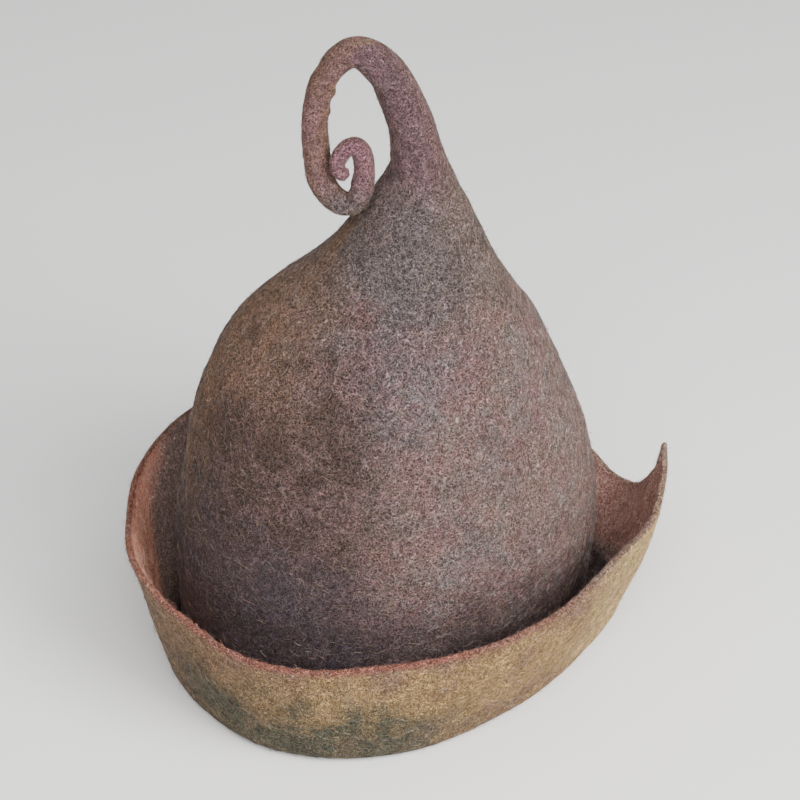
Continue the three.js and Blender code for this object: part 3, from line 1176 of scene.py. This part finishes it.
@dataclass
class FibreCoat:
    """Loose curly fibres lying on one stretch of the felt, each tapering to a point at both ends.

    Lengths are in millimetres and turns in radians. A fibre lies up to lift off the felt. A loose
    share of them stands up as well, by about stand at the far end. Each turns by its curl at every
    knot, and by a sway of its own there, and comb draws it along the way that the tail runs.
    """

    form: HatForm
    name: str
    count: int
    stretch: Stretch
    length: tuple[float, float] = (4.0, 10.0)
    thick: float = 0.075
    uneven: tuple[float, float] = (0.6, 1.25)
    lift: float = 0.3
    loose: float = 0.12
    stand: float = 0.8
    knots: int = 4
    curl: float = 0.65
    sway: float = 0.35
    comb: float = 0.0
    seed: int = 1

    def roots(
        self, wall: bpy.types.Object, rng: np.random.Generator
    ) -> tuple[np.ndarray, dict[str, np.ndarray]]:
        """Picks places on the felt, evenly by area.

        Args:
            wall: the felt wall.
            rng: the source of chance.

        Returns:
            Points in metres, and the colour zones there, painted light and shade among them.
        """
        mesh = wall.data
        points = np.empty(3 * len(mesh.vertices))
        mesh.vertices.foreach_get("co", points)
        points = points.reshape(-1, 3)
        faces = np.empty(3 * len(mesh.polygons), dtype=np.int32)
        mesh.loops.foreach_get("vertex_index", faces)
        faces = faces.reshape(-1, 3)
        coat = read_values(mesh, "coat")[faces]
        chosen = faces[(coat == self.stretch.value).all(axis=1)]
        a, b, c = (points[chosen[:, k]] for k in range(3))
        area = np.linalg.norm(np.cross(b - a, c - a), axis=1)
        pick = rng.choice(len(chosen), self.count, p=area / area.sum())
        u, v = rng.random((2, self.count))
        over = u + v > 1
        u[over], v[over] = 1 - u[over], 1 - v[over]
        weights = np.stack([1 - u - v, u, v], -1)
        corners = chosen[pick]
        zones = {name: (read_values(mesh, name)[corners] * weights).sum(axis=1) for name in ZONES}
        return (points[corners] * weights[..., None]).sum(axis=1), zones

    def build(self, wall: bpy.types.Object, tree: BVHTree, material: bpy.types.Material) -> bpy.types.Object:
        """Grows the fibres along the felt and joins them into one piece.

        Args:
            wall: the felt wall.
            tree: the same wall, for finding its surface.
            material: the fibres' material.

        Returns:
            The object.
        """
        rng = np.random.default_rng(self.seed)
        roots, zones = self.roots(wall, rng)
        links = self.knots - 1
        highest, lowest = 4 * self.stand, 1.5 * self.thick * MM
        bend = np.linspace(0, 1, self.knots) ** 1.5
        length = rng.uniform(*self.length, self.count) * MM
        curl = rng.normal(0, self.curl, self.count)
        sway = rng.normal(0, self.sway, (self.count, links))
        rise = rng.random((self.count, self.knots)) ** 2 * self.lift
        standing = np.where(rng.random(self.count) < self.loose, rng.exponential(self.stand, self.count), 0.0)
        rise += np.minimum(standing, highest)[:, None] * bend
        start = rng.uniform(0, 2 * math.pi, self.count)
        grain = self.comb * self.form.grain(roots)
        paths = np.empty((self.count, self.knots, 3))
        normals = np.empty_like(paths)
        for i, root in enumerate(roots.tolist()):
            here, normal, _, _ = tree.find_nearest(Vector(root))
            side = normal.orthogonal().normalized()
            way = Matrix.Rotation(start[i], 3, normal) @ side * (1 - self.comb) + Vector(grain[i])
            way = (way - normal * way.dot(normal)).normalized()
            step = length[i] / links
            for k in range(self.knots):
                paths[i, k] = here + normal * (rise[i, k] * MM)
                normals[i, k] = normal
                if k < links:
                    found, normal, _, _ = tree.find_nearest(here + way * step)
                    moved = found - here
                    moved -= normal * moved.dot(normal)
                    way = moved.normalized() if moved.length > 1e-6 else way
                    way = Matrix.Rotation(curl[i] + sway[i, k], 3, normal) @ way
                    here = found
        paths[..., 2] = np.maximum(paths[..., 2], lowest)
        obj = self.join(paths, normals, rng)
        each = len(obj.data.vertices) // self.count
        stored = {name: np.repeat(value, each) for name, value in zones.items()}
        for name in ("fibre_tone", "fibre_tint"):
            stored[name] = np.repeat(rng.random(self.count), each)
        paint_values(obj, stored)
        obj.data.materials.append(material)
        return obj

    def join(self, paths: np.ndarray, normals: np.ndarray, rng: np.random.Generator) -> bpy.types.Object:
        """Makes three-sided fibres along the paths, closed to a point at each end.

        Args:
            paths: each fibre's points in metres.
            normals: the felt's direction at each point.
            rng: the source of chance.

        Returns:
            The object.
        """
        count, knots = paths.shape[:2]
        ahead = unit(np.gradient(paths, axis=1))
        sideways = unit(np.cross(ahead, normals))
        upward = unit(np.cross(sideways, ahead))
        radius = self.thick * MM * rng.uniform(*self.uneven, (count, 1))
        inner = range(1, knots - 1)
        points = [paths[:, 0]]
        for j in inner:
            for k in range(3):
                angle = math.pi / 2 + 2 * math.pi * k / 3
                offset = math.cos(angle) * sideways[:, j] + math.sin(angle) * upward[:, j]
                points.append(paths[:, j] + radius * offset)
        points = np.stack([*points, paths[:, -1]], axis=1)
        last = points.shape[1] - 1
        pattern = []
        for k in range(3):
            a, b = 1 + k, 1 + (k + 1) % 3
            pattern += [(0, a, b), (last, last - 3 + (k + 1) % 3, last - 3 + k)]
            for j in range(knots - 3):
                low, high = a + 3 * j, b + 3 * j
                pattern += [(low, low + 3, high + 3), (low, high + 3, high)]
        base = np.arange(count) * points.shape[1]
        faces = (base[:, None, None] + np.array(pattern)[None]).reshape(-1, 3)
        return mesh_object(self.name, points.reshape(-1, 3) / MM + BOX_MIDDLE, faces)


@dataclass
class FeltHat:
    """The whole hat: its wall of felt and the loose wool on it."""

    form: HatForm = field(default_factory=HatForm)

    def coats(self) -> tuple[FibreCoat, ...]:
        """Lists the coats of loose wool, stretch by stretch.

        Returns:
            The coats.
        """
        return (
            FibreCoat(self.form, "loose_wool_crown", 16500, Stretch.CROWN, thick=0.085, seed=11),
            FibreCoat(
                self.form, "loose_wool_crown_short", 32000, Stretch.CROWN,
                length=(2.0, 5.5), thick=0.07, knots=3, seed=12,
            ),
            FibreCoat(
                self.form, "loose_wool_tail", 7000, Stretch.TAIL,
                length=(2.5, 7.0), thick=0.05, loose=0.2, stand=0.5, comb=0.6, seed=13,
            ),
            FibreCoat(self.form, "loose_wool_brim_outside", 16000, Stretch.OUTSIDE, seed=14),
            FibreCoat(
                self.form, "loose_wool_brim_inside", 7500, Stretch.INSIDE,
                length=(3.0, 9.0), thick=0.06, seed=15,
            ),
            FibreCoat(
                self.form, "loose_wool_rim", 4000, Stretch.RIM,
                length=(2.0, 7.0), thick=0.06, lift=0.5, loose=0.6, stand=0.9, seed=16,
            ),
        )

    def build(self) -> list[bpy.types.Object]:
        """Builds the wall and its fibres and attaches each to the root body.

        Returns:
            The pieces.
        """
        dyes_and_painted_light = WoolDyesAndPaintedLight().build(dyed_patches())
        wall = FeltWall(self.form).build()
        wall.data.materials.append(WoolFelt().build(dyes_and_painted_light, matted_wool()))
        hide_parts("felt_hat")
        tree = BVHTree.FromPolygons(
            [v.co.copy() for v in wall.data.vertices],
            [tuple(p.vertices) for p in wall.data.polygons],
        )
        fibres = LooseWool().build(dyes_and_painted_light)
        pieces = [wall] + [coat.build(wall, tree, fibres) for coat in self.coats()]
        for piece in pieces:
            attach(piece, "root")
            log.info("%s: %d faces", piece.name, len(piece.data.polygons))
        return pieces


@dataclass
class Studio:
    """A pale floor, soft lights and the camera, in metres where a name doesn't say otherwise."""

    heading: float = CURL_HEADING
    above: float = 36.0
    distance: float = 1.177
    lens: float = 111.2
    sensor: float = 36.0
    aside_mm: float = 6.5
    aim_height_mm: float = 136.85
    light_aim: float = 0.12
    daylight: tuple[float, float, float] = (1.0, 0.98, 0.95)
    sky: float = 0.6
    floor_half: float = 6.0
    floor_grey: float = 0.9
    floor_roughness: float = 0.9

    def directions(self) -> tuple[Vector, Vector, Vector]:
        """Works out which way the camera looks.

        Returns:
            The ways right, up and back from the camera.
        """
        a, e = math.radians(self.heading), math.radians(self.above)
        back = Vector((math.sin(a) * math.cos(e), -math.cos(a) * math.cos(e), math.sin(e)))
        right = Vector((math.cos(a), math.sin(a), 0))
        return right, back.cross(right), back

    def floor(self) -> None:
        """Lays the pale floor."""
        mesh = bpy.data.meshes.new("studio_floor")
        half, grey = self.floor_half, self.floor_grey
        corners = [(-half, -half, 0), (half, -half, 0), (half, half, 0), (-half, half, 0)]
        mesh.from_pydata(corners, [], [(0, 1, 2, 3)])
        obj = bpy.data.objects.new("studio_floor", mesh)
        bpy.context.scene.collection.objects.link(obj)
        material = bpy.data.materials.new("pale_floor")
        material.use_nodes = True
        shader = material.node_tree.nodes["Principled BSDF"]
        shader.inputs["Base Color"].default_value = (grey, grey, grey, 1)
        shader.inputs["Roughness"].default_value = self.floor_roughness
        mesh.materials.append(material)

    def light(self, name: str, side: float, high: float, near: float, size: float, power: float) -> None:
        """Hangs a soft square light, placed as the camera sees it.

        Args:
            name: the light's name.
            side: how far to the right of the hat.
            high: how far above the floor.
            near: how far towards the camera.
            size: its width.
            power: its power in watts.
        """
        right, _, back = self.directions()
        level = Vector((back.x, back.y, 0)).normalized()
        data = bpy.data.lights.new(name, "AREA")
        data.size, data.energy, data.color = size, power, self.daylight
        obj = bpy.data.objects.new(name, data)
        obj.location = right * side + level * near + Vector((0, 0, high))
        aim = Vector((0, 0, self.light_aim)) - obj.location
        obj.rotation_euler = aim.to_track_quat("-Z", "Y").to_euler()
        bpy.context.scene.collection.objects.link(obj)

    def camera(self) -> None:
        """Sets the camera where the photograph was taken from."""
        right, up, back = self.directions()
        middle = Vector((0, 0, self.aim_height_mm)) - Vector(BOX_MIDDLE)
        middle = middle * MM + right * self.aside_mm * MM
        data = bpy.data.cameras.new("camera")
        data.lens, data.sensor_width = self.lens, self.sensor
        obj = bpy.data.objects.new("camera", data)
        turn = Matrix((right, up, back)).transposed()
        obj.matrix_world = Matrix.Translation(middle + back * self.distance) @ turn.to_4x4()
        bpy.context.scene.collection.objects.link(obj)
        bpy.context.scene.camera = obj

    def build(self) -> None:
        """Sets up the floor, the sky, the lights and the camera."""
        self.floor()
        world = bpy.data.worlds.new("soft_room")
        world.use_nodes = True
        sky = world.node_tree.nodes["Background"]
        sky.inputs["Color"].default_value = (1, 1, 1, 1)
        sky.inputs["Strength"].default_value = self.sky
        bpy.context.scene.world = world
        self.light("window", side=1.0, high=1.1, near=0.8, size=0.9, power=40.0)
        self.light("room", side=0.0, high=1.1, near=0.9, size=1.0, power=18.0)
        self.camera()


def main() -> None:
    """Builds the hat over its frame and the studio round it."""
    logging.basicConfig(level=logging.INFO, format="%(name)s: %(message)s")
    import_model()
    Studio().build()
    pieces = FeltHat().build()
    log.info("%d pieces", len(pieces))


if __name__ == "__main__":
    main()
